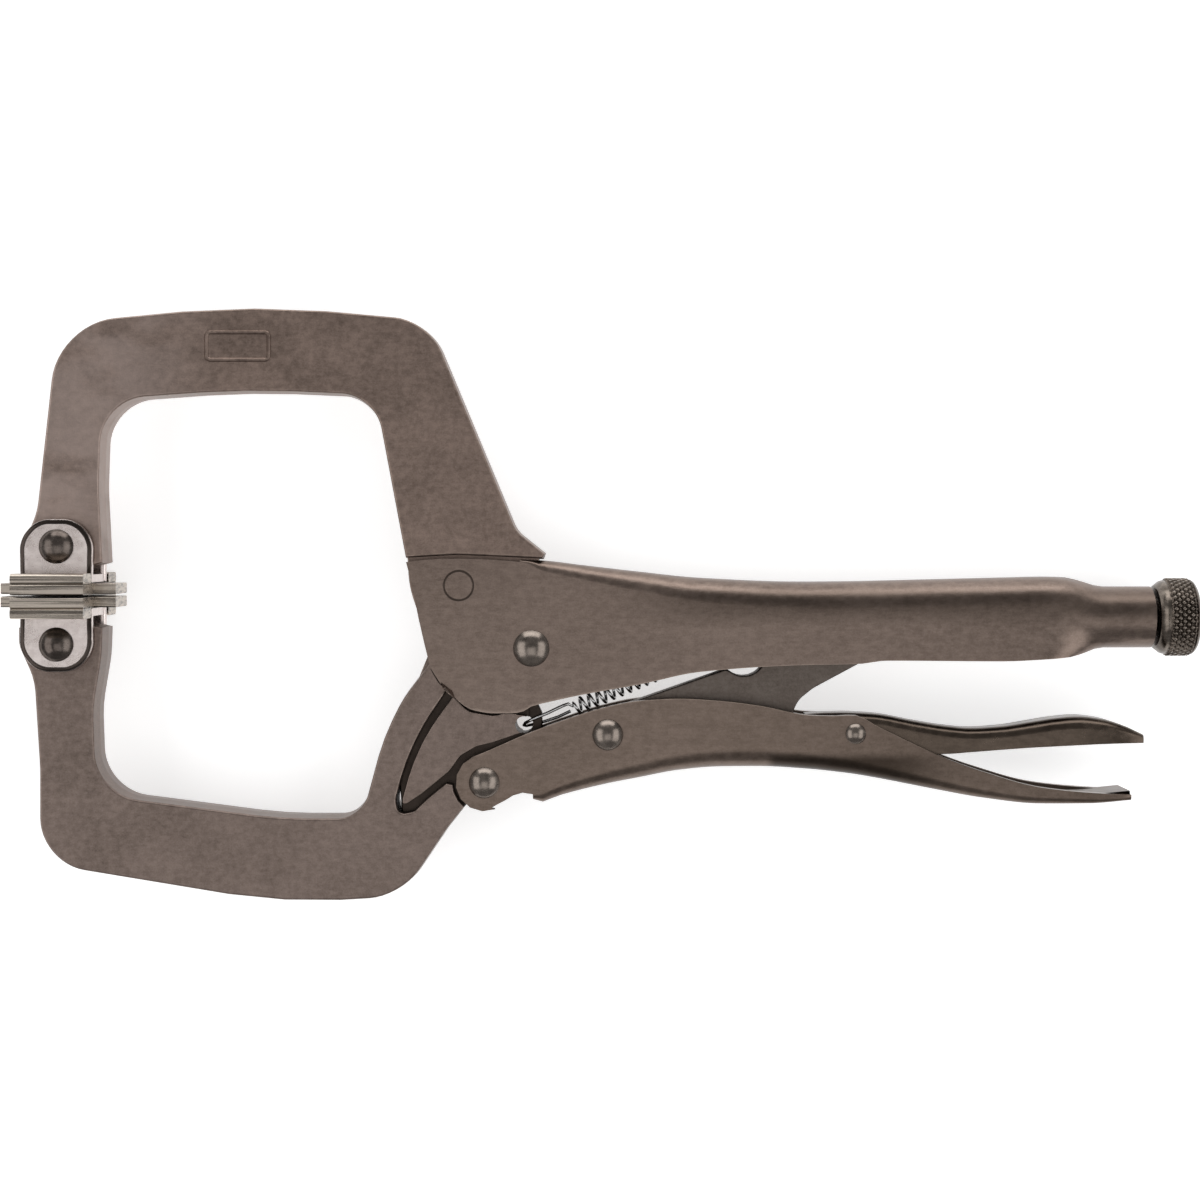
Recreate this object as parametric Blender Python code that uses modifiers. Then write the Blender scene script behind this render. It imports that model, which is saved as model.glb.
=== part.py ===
"""Locking C-clamp pliers with swivel pads, 11 inch size: lying flat, jaws closed and locked.

+X runs towards the adjusting screw, +Y from the squeeze lever to the fixed jaw, and +Z through the
thickness. The origin is the bottom centre of the whole tool. Sizes below are in millimetres and
are turned into metres where a shape is made.
"""

from math import acos, asin, atan2, ceil, cos, pi, radians, sin, tan

import bmesh
import bpy
from mathutils import Vector

MM = 0.001
GAP = 0.3  # clearance kept between neighbouring pieces
FLATNESS = 0.06  # how far an arc's straight steps may stand off the true arc

# Thickness through Z, each a half width about the mid-plane
MID = 16.5  # height of the mid-plane, half the depth of a pad
JAW_HALF = 5.6
TANG_HALF = 3.1
TAB_HALF = 1.5
LINK_HALF = 2.9
HANDLE_HALF = (5.6, 7.15)  # at the jaw end, at the screw end
LEVER_HALF = (5.5, 7.15)
RELEASE_HALF = (4.5, 6.0)
PAD_HALF = 16.5
SHEET = 2.15
RELEASE_SHEET = 1.6

# Pivots, in the plane of the tool
JAW_PIVOT = (-15.9, -10.2)
LEVER_PIVOT = (-26.8, -41.3)
TOGGLE_PIVOT = (1.8, -30.2)
RELEASE_PIVOT = (59.0, -29.8)
UPPER_PAD_PIN = (-125.3, 13.4)
LOWER_PAD_PIN = (-125.3, -9.2)
FIXED_JAW_RIVET = (-32.7, 4.4)
SPRING_HOLE = (-17.6, -27.9)
SPRING_ANCHOR = (23.4, -12.0)
PAD_LINE = 2.1  # the pads meet here

# Round parts: radii
JAW_PIN_RADIUS = 2.9
JAW_BOSS_RADIUS = 9.0
JAW_HEAD_RADIUS = 4.2
PIN_RADIUS = 2.6
HEAD_RADIUS = 3.55
LEVER_END_RADIUS = 6.5
TOGGLE_BOSS_RADIUS = 5.2
RELEASE_PIN_RADIUS = 1.6
RELEASE_HEAD_RADIUS = 2.35
PAD_PIN_RADIUS = 2.4
PAD_HEAD_RADIUS = 3.95
FLUSH_RIVET_RADIUS = 3.2
SPRING_HOLE_RADIUS = 1.6

# Adjusting screw, along X
SCREW_Y = -3.1
SCREW_RADIUS = 4.4  # between the crest and the root of its thread
SCREW_TIP_X = 72.2
TUBE_END_X = 128.5
KNOB_X = (129.4, 138.6)
KNOB_RADIUS = 9.1

# Return spring
SPRING_WIRE_RADIUS = 0.38
SPRING_COIL_RADIUS = 1.65
SPRING_TURNS = 15

NAME = "locking_c_clamp"


# ---- scene and helpers ----


def clear_scene():
    for thing in list(bpy.data.objects):
        bpy.data.objects.remove(thing)
    for name in (NAME, "cutters"):
        old = bpy.data.collections.get(name)
        if old:
            bpy.data.collections.remove(old)
        bpy.context.scene.collection.children.link(bpy.data.collections.new(name))


def link(thing, as_cutter=False):
    bpy.data.collections["cutters" if as_cutter else NAME].objects.link(thing)
    if as_cutter:
        thing.hide_render = True
        thing.display_type = "WIRE"
    return thing


def paint(thing, color, roughness, metallic=1.0):
    """Give a piece its own steel finish."""
    material = bpy.data.materials.new(thing.name)
    material.use_nodes = True
    shader = material.node_tree.nodes["Principled BSDF"]
    shader.inputs["Base Color"].default_value = (*color, 1.0)
    shader.inputs["Roughness"].default_value = roughness
    shader.inputs["Metallic"].default_value = metallic
    thing.data.materials.clear()
    thing.data.materials.append(material)


def hinge_on(thing, pivot):
    """Move a piece's origin onto its joint axis without moving the piece."""
    shift = Vector((pivot[0] * MM, pivot[1] * MM, MID * MM))
    for vertex in thing.data.vertices:
        vertex.co += Vector(thing.location) - shift
    thing.location = shift


def arc_steps(radius, sweep):
    return max(1, ceil(abs(sweep) / (2 * acos(1 - min(FLATNESS / radius, 0.5)))))


def arc(centre, radius, start, end):
    """Sharp outline points round a centre, from one angle to another in degrees."""
    sweep = radians(end - start)
    steps = arc_steps(radius, sweep)
    angles = [radians(start) + sweep * i / steps for i in range(steps + 1)]
    return [(centre[0] + radius * cos(a), centre[1] + radius * sin(a), 0) for a in angles]


def circle(centre, radius):
    return [(x, y) for x, y, _ in arc(centre, radius, 0, 360)[:-1]]


def rounded(points):
    """An outline from (x, y, corner radius) points, each corner turned into an arc."""
    outline = []
    for i, (x, y, radius) in enumerate(points):
        corner = Vector((x, y))
        back = Vector(points[i - 1][:2]) - corner
        ahead = Vector(points[(i + 1) % len(points)][:2]) - corner
        half = back.angle(ahead) / 2
        if radius == 0 or half > radians(89.5):
            outline.append((x, y))
            continue
        reach = min(radius / tan(half), 0.49 * back.length, 0.49 * ahead.length)
        radius = reach * tan(half)
        start = corner + back.normalized() * reach
        end = corner + ahead.normalized() * reach
        centre = corner + (back.normalized() + ahead.normalized()).normalized() * radius / sin(half)
        first = atan2(start.y - centre.y, start.x - centre.x)
        last = atan2(end.y - centre.y, end.x - centre.x)
        sweep = (last - first + pi) % (2 * pi) - pi
        steps = arc_steps(radius, sweep)
        for step in range(steps + 1):
            angle = first + sweep * step / steps
            outline.append((centre.x + radius * cos(angle), centre.y + radius * sin(angle)))
    return outline


def as_mesh(curve_object):
    """The curve object as a mesh with its caps welded on, in the curve's place."""
    bpy.context.view_layer.update()
    depsgraph = bpy.context.evaluated_depsgraph_get()
    mesh = bpy.data.meshes.new_from_object(curve_object.evaluated_get(depsgraph))
    welded = bmesh.new()
    welded.from_mesh(mesh)
    bmesh.ops.remove_doubles(welded, verts=welded.verts, dist=1e-6)
    bmesh.ops.recalc_face_normals(welded, faces=welded.faces)
    welded.to_mesh(mesh)
    welded.free()
    made = bpy.data.objects.new(curve_object.name, mesh)
    made.matrix_world = curve_object.matrix_world
    name = curve_object.name
    owner = curve_object.users_collection[0]
    bpy.data.objects.remove(curve_object)
    made.name = name
    owner.objects.link(made)
    return made


def plate(name, outline, low, high, holes=(), edge=0.0, as_cutter=False):
    """A flat piece cut to an outline, between two heights about the mid-plane."""
    curve = bpy.data.curves.new(name, "CURVE")
    curve.dimensions = "2D"
    curve.fill_mode = "BOTH"
    curve.extrude = ((high - low) / 2 - edge) * MM
    curve.bevel_depth = edge * MM
    curve.offset = -edge * MM
    curve.bevel_resolution = 0
    for ring in (outline, *holes):
        spline = curve.splines.new("POLY")
        spline.points.add(len(ring) - 1)
        for point, (x, y) in zip(spline.points, ring):
            point.co = (x * MM, y * MM, 0, 1)
        spline.use_cyclic_u = True
    flat = link(bpy.data.objects.new(name, curve), as_cutter)
    flat.location.z = (MID + (low + high) / 2) * MM
    made = as_mesh(flat)
    if as_cutter:
        made.hide_render = True
        made.display_type = "WIRE"
    return made


def boolean(piece, tool, operation):
    """Join, cut or trim a piece with another one, which becomes a cutter."""
    cut = piece.modifiers.new(tool.name, "BOOLEAN")
    cut.operation = operation
    cut.solver = "EXACT"
    cut.object = tool


def pin_cutter(name, pins):
    """Round holes straight through the thickness, one for each (centre, radius)."""
    shape = bmesh.new()
    for (x, y), radius in pins:
        made = bmesh.ops.create_cone(
            shape,
            cap_ends=True,
            segments=20,
            radius1=(radius + GAP) * MM,
            radius2=(radius + GAP) * MM,
            depth=4 * PAD_HALF * MM,
        )
        bmesh.ops.translate(shape, verts=made["verts"], vec=(x * MM, y * MM, MID * MM))
    mesh = bpy.data.meshes.new(name)
    shape.to_mesh(mesh)
    shape.free()
    return link(bpy.data.objects.new(name, mesh), as_cutter=True)


def box_cutter(name, low, high):
    """A box from its lowest to its highest corner, Z measured from the mid-plane."""
    shape = bmesh.new()
    bmesh.ops.create_cube(shape, size=1)
    size = [b - a for a, b in zip(low, high)]
    middle = [(a + b) / 2 for a, b in zip(low, high)]
    middle[2] += MID
    bmesh.ops.scale(shape, verts=shape.verts, vec=[s * MM for s in size])
    bmesh.ops.translate(shape, verts=shape.verts, vec=[m * MM for m in middle])
    mesh = bpy.data.meshes.new(name)
    shape.to_mesh(mesh)
    shape.free()
    return link(bpy.data.objects.new(name, mesh), as_cutter=True)


def turned(name, profile, place, along_x=False, steps=20):
    """A piece turned on a lathe from (radius, height) points that run from top to bottom."""
    mesh = bpy.data.meshes.new(name)
    mesh.from_pydata(
        [(radius * MM, 0, height * MM) for radius, height in profile],
        [(i, i + 1) for i in range(len(profile) - 1)],
        [],
    )
    piece = link(bpy.data.objects.new(name, mesh))
    piece.location = [value * MM for value in place]
    if along_x:
        piece.rotation_euler.y = pi / 2
    spin = piece.modifiers.new("turn", "SCREW")
    spin.axis = "Z"
    spin.steps = steps
    spin.render_steps = steps
    spin.use_merge_vertices = True
    spin.merge_threshold = 1e-6
    spin.use_smooth_shade = True
    return piece


def dome(radius, height, base, rings=3):
    """Profile points of a domed head, from its crown down to its rim."""
    sphere = (radius**2 + height**2) / (2 * height)
    half = asin(radius / sphere)
    return [
        (sphere * sin(half * i / rings), base + height - sphere * (1 - cos(half * i / rings)))
        for i in range(rings + 1)
    ]


def domed_rivet(name, pivot, shank, head, crown, seat):
    """A pin with a domed head on each outer face, which lies at the seat height."""
    upper = dome(head, crown, seat) + [(shank, seat)]
    lower = [(radius, -height) for radius, height in reversed(upper)]
    return turned(name, upper + lower, (*pivot, MID))


def along(stations, x, column):
    """A station value at x, by straight lines between the stations."""
    for first, second in zip(stations, stations[1:]):
        if x <= second[0]:
            share = (x - first[0]) / (second[0] - first[0])
            return first[column] + share * (second[column] - first[column])
    return stations[-1][column]


def channel(name, stations, sheet, opens=-1, step=7.0):
    """Pressed sheet drawn along X into a channel that opens down (-1) or up (+1) in Y.

    A station is (x, half width, web y, lip y, bend radius, roundness); roundness 1 rolls the
    channel into a tube. Every size is of the outer surface.
    """
    leg, bend = 3, 4
    xs = []
    for first, second in zip(stations, stations[1:]):
        count = max(1, round((second[0] - first[0]) / step))
        xs += [first[0] + (second[0] - first[0]) * i / count for i in range(count)]
    xs.append(stations[-1][0])
    shape = bmesh.new()
    rows = []
    for x in xs:
        half, web, lip, radius, roundness = (along(stations, x, column) for column in range(1, 6))
        shoulder = web + opens * radius
        side = [(half, lip + (shoulder - lip) * i / leg) for i in range(leg)]
        for i in range(bend + 1):
            angle = pi / 2 * i / bend
            side.append((half - radius * (1 - cos(angle)), shoulder - opens * radius * sin(angle)))
        centre = (web + lip) / 2
        reach = abs(web - lip) / 2
        last = len(side)
        for i, (z, y) in enumerate(side):
            angle = radians(-86 + 170 * i / (last - 1))
            ring = (half * cos(angle), centre - opens * reach * sin(angle))
            side[i] = (z + (ring[0] - z) * roundness, y + (ring[1] - y) * roundness)
        profile = side + [(0, web)] + [(-z, y) for z, y in reversed(side)]
        rows.append([shape.verts.new((x * MM, y * MM, (MID + z) * MM)) for z, y in profile])
    for first, second in zip(rows, rows[1:]):
        for i in range(len(first) - 1):
            shape.faces.new((first[i], first[i + 1], second[i + 1], second[i]))
    outward = shape.faces[:][0]
    outward.normal_update()
    if outward.normal.z < 0:
        bmesh.ops.reverse_faces(shape, faces=shape.faces)
    mesh = bpy.data.meshes.new(name)
    shape.to_mesh(mesh)
    shape.free()
    piece = link(bpy.data.objects.new(name, mesh))
    wall = piece.modifiers.new("sheet", "SOLIDIFY")
    wall.thickness = sheet * MM
    wall.offset = -1
    wall.use_even_offset = True
    return piece


# ---- forged jaws ----


def fixed_jaw():
    """The forged upper C, with a thinner tang that goes between the handle's cheeks."""
    outer = [
        (-134.3, 9.4, 1.0),
        (-134.3, 12.8, 6),
        (-130.6, 21.5, 14),
        (-125.8, 65.3, 16.5),
        (-80.0, 69.69, 180),
        (-39.6, 66.0, 13),
        (-19.2, 17.1, 6),
        (-12.9, 11.6, 1),
        (-13.0, 10.5, 0),
    ]
    shoulder = [(-33.0, 11.3, 40)]
    inner = [
        (-45.2, 10.6, 0.8),
        (-52.3, 48.2, 9.5),
        (-82.0, 49.5, 180),
        (-115.1, 47.1, 13.5),
        (-115.8, 27.0, 40),
        (-114.9, 9.4, 1.0),
        (-125.3, 7.2, 12),
    ]
    jaw = plate("fixed_jaw", rounded(outer + shoulder + inner), -JAW_HALF, JAW_HALF, edge=0.6)
    boss_arc = arc(JAW_PIVOT, JAW_BOSS_RADIUS + 0.5, 79, 118)
    tang = [
        (-14.2, 12.5, 0),
        *boss_arc,
        (-40.0, -10.4, 0.6),
        (-42.3, -2.2, 20),
        (-44.4, 4.0, 20),
        (-44.9, 12.5, 0),
    ]
    tang = plate("fixed_jaw_tang", rounded(tang), -TANG_HALF, TANG_HALF, as_cutter=True)
    boolean(jaw, tang, "UNION")
    pins = [(FIXED_JAW_RIVET, FLUSH_RIVET_RADIUS), (UPPER_PAD_PIN, PAD_PIN_RADIUS)]
    boolean(jaw, pin_cutter("fixed_jaw_holes", pins), "DIFFERENCE")
    paint(jaw, (0.24, 0.21, 0.19), 0.45)


def moving_jaw():
    """The forged lower C. Thinner faces take the handle's cheeks and the lever's cheeks."""
    outer = [
        (-134.8, -5.2, 1.0),
        (-134.8, -9.6, 6),
        (-131.2, -17.5, 14),
        (-129.9, -38.0, 40),
        (-129.9, -60.1, 15.5),
        (-73.0, -69.5, 160),
        (-45.9, -67.9, 15),
        (-35.0, -52.0, 6),
    ]
    inner = [
        (-39.3, -13.2, 1.0),
        (-45.9, -21.8, 25),
        (-50.4, -30.8, 45),
        (-55.4, -49.3, 7),
        (-74.0, -49.3, 90),
        (-116.4, -43.8, 12),
        (-117.1, -24.0, 25),
        (-115.1, -12.0, 30),
        (-114.9, -5.2, 1.0),
        (-125.3, -3.0, 12),
    ]
    lever_clearance = LEVER_END_RADIUS + 0.45
    raised = [
        *outer,
        *reversed(arc(LEVER_PIVOT, lever_clearance, 125, 226)),
        (-29.0, -33.3, 3),
        (-24.8, -32.4, 3),
        (-19.9, -30.6, 2),
        (-16.3, -29.5, 0.8),
        *arc(JAW_PIVOT, 15.4, -91, -107),
        (-24.6, -25.6, 4),
        (-30.4, -24.6, 3),
        (-33.6, -21.6, 2),
        (-35.9, -20.1, 0.8),
        *inner,
    ]
    jaw = plate("moving_jaw", rounded(raised), -JAW_HALF, JAW_HALF, edge=0.5)
    tang = [
        *arc(JAW_PIVOT, JAW_BOSS_RADIUS, 0, 118),
        (-41.5, -11.9, 0),
        (-48.0, -30.0, 0),
        (-42.0, -52.0, 0),
        *arc(LEVER_PIVOT, LEVER_END_RADIUS - 0.4, 225, 360),
        (-20.5, -33.5, 2),
        (-16.5, -32.2, 0.4),
        (-16.5, -22.5, 0),
        (-6.9, -12.0, 6),
    ]
    tang = plate("moving_jaw_tang", rounded(tang), -TANG_HALF, TANG_HALF, as_cutter=True)
    boolean(jaw, tang, "UNION")
    tab = [
        (-18.0, -31.6, 0),
        (-13.4, -29.6, 0.8),
        (-13.5, -25.4, 0.8),
        (-15.0, -22.3, 0),
        (-18.0, -22.3, 0),
    ]
    tab = plate("moving_jaw_tab", rounded(tab), -TAB_HALF, TAB_HALF, as_cutter=True)
    boolean(jaw, tab, "UNION")
    groove = [
        (-33.6, -17.6, 0),
        (-40.6, -28.0, 40),
        (-44.7, -36.4, 40),
        (-47.2, -45.6, 4),
        (-47.0, -48.5, 1.8),
        (-44.3, -48.6, 1.8),
        (-31.6, -37.9, 0),
        (-31.0, -33.4, 0),
        (-36.2, -39.5, 6),
        (-45.0, -46.9, 0.6),
        (-46.3, -45.4, 0.6),
        (-43.2, -36.4, 40),
        (-39.2, -28.4, 40),
        (-31.8, -18.0, 0),
    ]
    depth = JAW_HALF - 1.6
    for name, low, high in (("front", depth, 8), ("back", -8, -depth)):
        cut = plate(f"groove_{name}", rounded(groove), low, high, as_cutter=True)
        boolean(jaw, cut, "DIFFERENCE")
    pins = [
        (JAW_PIVOT, JAW_PIN_RADIUS),
        (LEVER_PIVOT, PIN_RADIUS),
        (LOWER_PAD_PIN, PAD_PIN_RADIUS),
        (SPRING_HOLE, SPRING_HOLE_RADIUS - GAP),
    ]
    boolean(jaw, pin_cutter("moving_jaw_holes", pins), "DIFFERENCE")
    hinge_on(jaw, JAW_PIVOT)
    paint(jaw, (0.24, 0.21, 0.19), 0.45)


# ---- handle, lever and release lever, pressed from sheet ----


def upper_handle():
    """The fixed handle: flat cheeks on the jaws, then a channel, then a rolled screw tube."""
    front, rear = HANDLE_HALF
    tube_top = SCREW_Y + rear
    tube_bottom = SCREW_Y - rear
    bend = 4.0
    stations = [
        (-47.0, front, 17.5, -28.0, 2.6, 0),
        (-24.0, front, 17.5, -28.0, 2.6, 0),
        (-13.2, front, 10.1, -28.0, 2.6, 0),
        (-4.6, front, 9.1, -28.0, 3.0, 0),
        (9.3, front, 7.5, -24.0, 3.4, 0),
        (23.2, front + 0.3, 6.1, -20.0, bend, 0),
        (46.3, front + 1.0, 5.2, -18.0, bend, 0),
        (69.5, rear, 5.6, -13.1, bend, 0),
        (92.7, rear, 6.1, -13.1, bend, 0),
        (106.0, rear, 6.3, -12.5, 5.0, 0.15),
        (116.8, rear, tube_top, tube_bottom, 6.5, 1),
        (TUBE_END_X, rear, tube_top, tube_bottom, 6.5, 1),
    ]
    handle = channel("upper_handle", stations, SHEET)
    outline = [
        (-44.9, 10.2, 0),
        (-44.3, 4.0, 30),
        (-38.9, -12.9, 40),
        (-35.4, -19.8, 0.8),
        (-30.1, -24.2, 4),
        (-22.5, -25.5, 10),
        (-15.8, -23.3, 3),
        (-14.9, -23.4, 0.3),
        (9.3, -18.5, 60),
        (28.0, -14.7, 40),
        (60.0, -13.7, 20),
        (66.0, -12.9, 20),
        (92.0, -13.3, 0),
        (130.0, -13.3, 0),
        (130.0, 12.0, 0),
        (-12.9, 12.0, 0),
        (-13.2, 10.1, 0),
        (-33.0, 11.0, 40),
    ]
    trim = plate("handle_outline", rounded(outline), -12, 12, as_cutter=True)
    boolean(handle, trim, "INTERSECT")
    inner = front - SHEET
    opening = box_cutter("handle_front_opening", (-50, -30, -inner), (-13.2, 20, inner))
    boolean(handle, opening, "DIFFERENCE")
    pins = [(JAW_PIVOT, JAW_PIN_RADIUS), (FIXED_JAW_RIVET, FLUSH_RIVET_RADIUS)]
    boolean(handle, pin_cutter("handle_holes", pins), "DIFFERENCE")
    paint(handle, (0.22, 0.19, 0.17), 0.35)


def lever():
    """The squeeze lever: cheeks over the moving jaw, then a channel that opens up."""
    front, rear = LEVER_HALF
    stations = [
        (-35.0, front, -56.0, -20.0, 2.6, 0),
        (-24.0, front, -56.0, -20.0, 2.6, 0),
        (-14.3, front, -46.1, -20.0, 2.6, 0),
        (-9.3, front, -44.3, -20.0, 3.0, 0),
        (0.9, front, -41.8, -20.0, 3.2, 0),
        (9.3, front + 0.2, -40.2, -20.0, 3.4, 0),
        (23.1, front + 0.7, -38.1, -20.0, 3.4, 0),
        (37.0, front + 1.2, -37.8, -20.0, 3.4, 0),
        (60.2, rear, -39.6, -22.0, 3.4, 0),
        (78.7, rear, -43.1, -30.0, 3.0, 0),
        (101.8, rear, -46.1, -38.0, 2.4, 0),
        (113.0, rear, -46.0, -40.0, 1.6, 0),
        (122.7, rear - 0.6, -45.2, -40.0, 1.2, 0),
    ]
    piece = channel("lever", stations, SHEET, opens=1)
    outline = [
        *arc(LEVER_PIVOT, LEVER_END_RADIUS, 112, 292),
        (-20.0, -44.6, 4),
        (-17.6, -43.5, 1),
        (-14.3, -46.2, 0),
        (-14.3, -52.0, 0),
        (130.0, -52.0, 0),
        (130.0, -42.9, 0),
        (109.0, -42.9, 30),
        (88.6, -38.4, 60),
        (65.0, -28.4, 15),
        (58.0, -25.3, 4),
        (49.5, -25.8, 6),
        (36.1, -23.4, 30),
        (18.5, -21.6, 40),
        (1.0, -23.7, 20),
        (-13.7, -28.7, 30),
    ]
    trim = plate("lever_outline", rounded(outline), -12, 12, as_cutter=True)
    boolean(piece, trim, "INTERSECT")
    inner = front - SHEET
    opening = box_cutter("lever_front_opening", (-50, -60, -inner), (-14.0, -10, inner))
    boolean(piece, opening, "DIFFERENCE")
    pins = [
        (LEVER_PIVOT, PIN_RADIUS),
        (TOGGLE_PIVOT, PIN_RADIUS),
        (RELEASE_PIVOT, RELEASE_PIN_RADIUS),
    ]
    boolean(piece, pin_cutter("lever_holes", pins), "DIFFERENCE")
    hinge_on(piece, LEVER_PIVOT)
    paint(piece, (0.22, 0.19, 0.17), 0.35)


def release_lever():
    """The small lever in the tail of the squeeze lever, whose nose pushes the toggle open."""
    front, rear = RELEASE_HALF
    stations = [
        (45.0, front, -24.0, -36.0, 2.0, 0),
        (56.0, front, -24.8, -36.0, 2.2, 0),
        (63.5, front, -25.4, -36.0, 2.4, 0),
        (73.7, front, -27.3, -36.0, 2.4, 0),
        (86.2, front, -28.8, -35.5, 2.4, 0),
        (95.0, front + 0.2, -28.2, -35.0, 2.4, 0),
        (106.1, rear - 0.4, -26.4, -34.0, 2.4, 0),
        (112.0, rear, -26.0, -34.0, 2.4, 0),
        (119.0, rear, -27.3, -34.0, 2.2, 0),
        (125.9, rear - 0.8, -30.2, -34.5, 1.6, 0),
    ]
    piece = channel("release_lever", stations, RELEASE_SHEET)
    outline = [
        (47.8, -28.3, 0.8),
        (54.5, -25.9, 4),
        (61.5, -25.3, 0),
        (62.0, -20.0, 0),
        (130.0, -20.0, 0),
        (130.0, -32.1, 0),
        (106.0, -32.9, 60),
        (79.7, -34.8, 60),
        (62.0, -34.4, 4),
        (54.5, -33.4, 4),
        (48.0, -30.9, 0.8),
    ]
    trim = plate("release_outline", rounded(outline), -12, 12, as_cutter=True)
    boolean(piece, trim, "INTERSECT")
    pins = [(RELEASE_PIVOT, RELEASE_PIN_RADIUS)]
    boolean(piece, pin_cutter("release_holes", pins), "DIFFERENCE")
    hinge_on(piece, RELEASE_PIVOT)
    paint(piece, (0.22, 0.19, 0.17), 0.35)


# ---- toggle link, spring and screw ----


def toggle_link():
    """The flat link from the lever to the tip of the screw, with its half-round relief."""
    outline = [
        *arc(TOGGLE_PIVOT, TOGGLE_BOSS_RADIUS, 130, 275),
        (36.0, -34.4, 5),
        (44.6, -28.5, 4),
        (45.3, -23.0, 6),
        (49.6, -19.6, 8),
        (64.9, -11.4, 2.5),
        (64.6, -3.6, 3.4),
        (56.0, -4.4, 6),
        (39.0, -12.2, 1),
        *reversed(arc((33.4, -11.6), 5.2, 182, 358)),
        (27.6, -15.4, 1.5),
        (19.6, -17.3, 5),
        (12.8, -24.8, 6),
    ]
    piece = plate(
        "toggle_link",
        rounded(outline),
        -LINK_HALF,
        LINK_HALF,
        holes=[circle(TOGGLE_PIVOT, PIN_RADIUS + GAP)],
        edge=0.4,
    )
    hinge_on(piece, TOGGLE_PIVOT)
    paint(piece, (0.20, 0.18, 0.16), 0.4)


def return_spring():
    """The extension spring from the moving jaw's tab to its anchor in the handle's channel."""
    hole = Vector((SPRING_HOLE[0] + 1.05, SPRING_HOLE[1] + 0.4))
    anchor = Vector(SPRING_ANCHOR)
    direction = Vector((20.9, 9.3)).normalized()
    normal = Vector((-direction.y, direction.x))
    start = Vector((-5.8, -24.2))
    length = (anchor - start).length
    turn = 2 * pi * SPRING_TURNS
    points_a_turn = 8
    count = SPRING_TURNS * points_a_turn
    reach = TAB_HALF + GAP + SPRING_WIRE_RADIUS
    # The hook: in behind the tab, through the hole, and back over the front to the coil.
    loop = [(-12.0, -26.4, -reach), (hole.x, hole.y, -reach), (hole.x - 0.5, hole.y - 0.1, 0)]
    loop += [(hole.x, hole.y, reach), (-12.0, -26.2, reach * 0.9), (-8.0, -24.2, 0.9)]
    coil = []
    for i in range(count + 1):
        angle = turn * i / count - pi / 2
        middle = start + direction * length * i / count
        offset = normal * SPRING_COIL_RADIUS * sin(angle)
        coil.append((middle.x + offset.x, middle.y + offset.y, SPRING_COIL_RADIUS * cos(angle)))
    curve = bpy.data.curves.new("return_spring", "CURVE")
    curve.dimensions = "3D"
    curve.bevel_depth = SPRING_WIRE_RADIUS * MM
    curve.bevel_resolution = 1
    curve.use_fill_caps = True
    points = loop + coil
    spline = curve.splines.new("POLY")
    spline.points.add(len(points) - 1)
    for point, (x, y, z) in zip(spline.points, points):
        point.co = (x * MM, y * MM, (MID + z) * MM, 1)
    piece = as_mesh(link(bpy.data.objects.new("return_spring", curve)))
    paint(piece, (0.45, 0.45, 0.45), 0.25)


def adjusting_screw():
    """The screw's shank through the handle's tube; its tip bears on the toggle link."""
    profile = [
        (0, 129.0),
        (SCREW_RADIUS, 129.0),
        (SCREW_RADIUS, SCREW_TIP_X + 1.5),
        (SCREW_RADIUS - 1.2, SCREW_TIP_X),
        (0, SCREW_TIP_X),
    ]
    screw = turned("adjusting_screw", profile, (0, SCREW_Y, MID), along_x=True)
    paint(screw, (0.30, 0.28, 0.26), 0.35)


def adjusting_knob():
    """The screw's knurled head."""
    first, last = KNOB_X
    profile = [
        (0, last),
        (KNOB_RADIUS - 0.9, last),
        (KNOB_RADIUS, last - 0.9),
        (KNOB_RADIUS, first + 2.1),
        (KNOB_RADIUS - 0.7, first + 1.6),
        (KNOB_RADIUS - 1.6, first),
        (0, first),
    ]
    knob = turned("adjusting_knob", profile, (0, SCREW_Y, MID), along_x=True, steps=32)
    paint(knob, (0.42, 0.40, 0.37), 0.3)


# ---- swivel pads ----


def pad_clevis(name, pin, side):
    """A folded saddle: a base on the pad and a round-topped ear on each face of the jaw."""
    low = PAD_LINE + side * 2.95
    base_top = low + side * 1.9
    crown = pin[1] + side * 6.4
    ear = [
        (pin[0] - 8.4, low, 0.8),
        (pin[0] - 8.6, pin[1] + side * 1.6, 5),
        (pin[0] - 4.6, crown, 5),
        (pin[0] + 4.6, crown, 5),
        (pin[0] + 8.4, pin[1] + side * 1.6, 5),
        (pin[0] + 8.2, low, 0.8),
    ]
    holes = [circle(pin, PAD_PIN_RADIUS + GAP)]
    inside = JAW_HALF + 0.25
    outside = inside + 1.8
    clevis = plate(name, rounded(ear), inside, outside, holes=holes, edge=0.35)
    back = plate(f"{name}_back", rounded(ear), -outside, -inside, holes=holes, edge=0.35, as_cutter=True)
    boolean(clevis, back, "UNION")
    base = box_cutter(
        f"{name}_base",
        (pin[0] - 8.3, min(low, base_top), -outside + 0.2),
        (pin[0] + 8.1, max(low, base_top), outside - 0.2),
    )
    boolean(clevis, base, "UNION")
    hinge_on(clevis, pin)
    paint(clevis, (0.50, 0.47, 0.44), 0.25)


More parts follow.
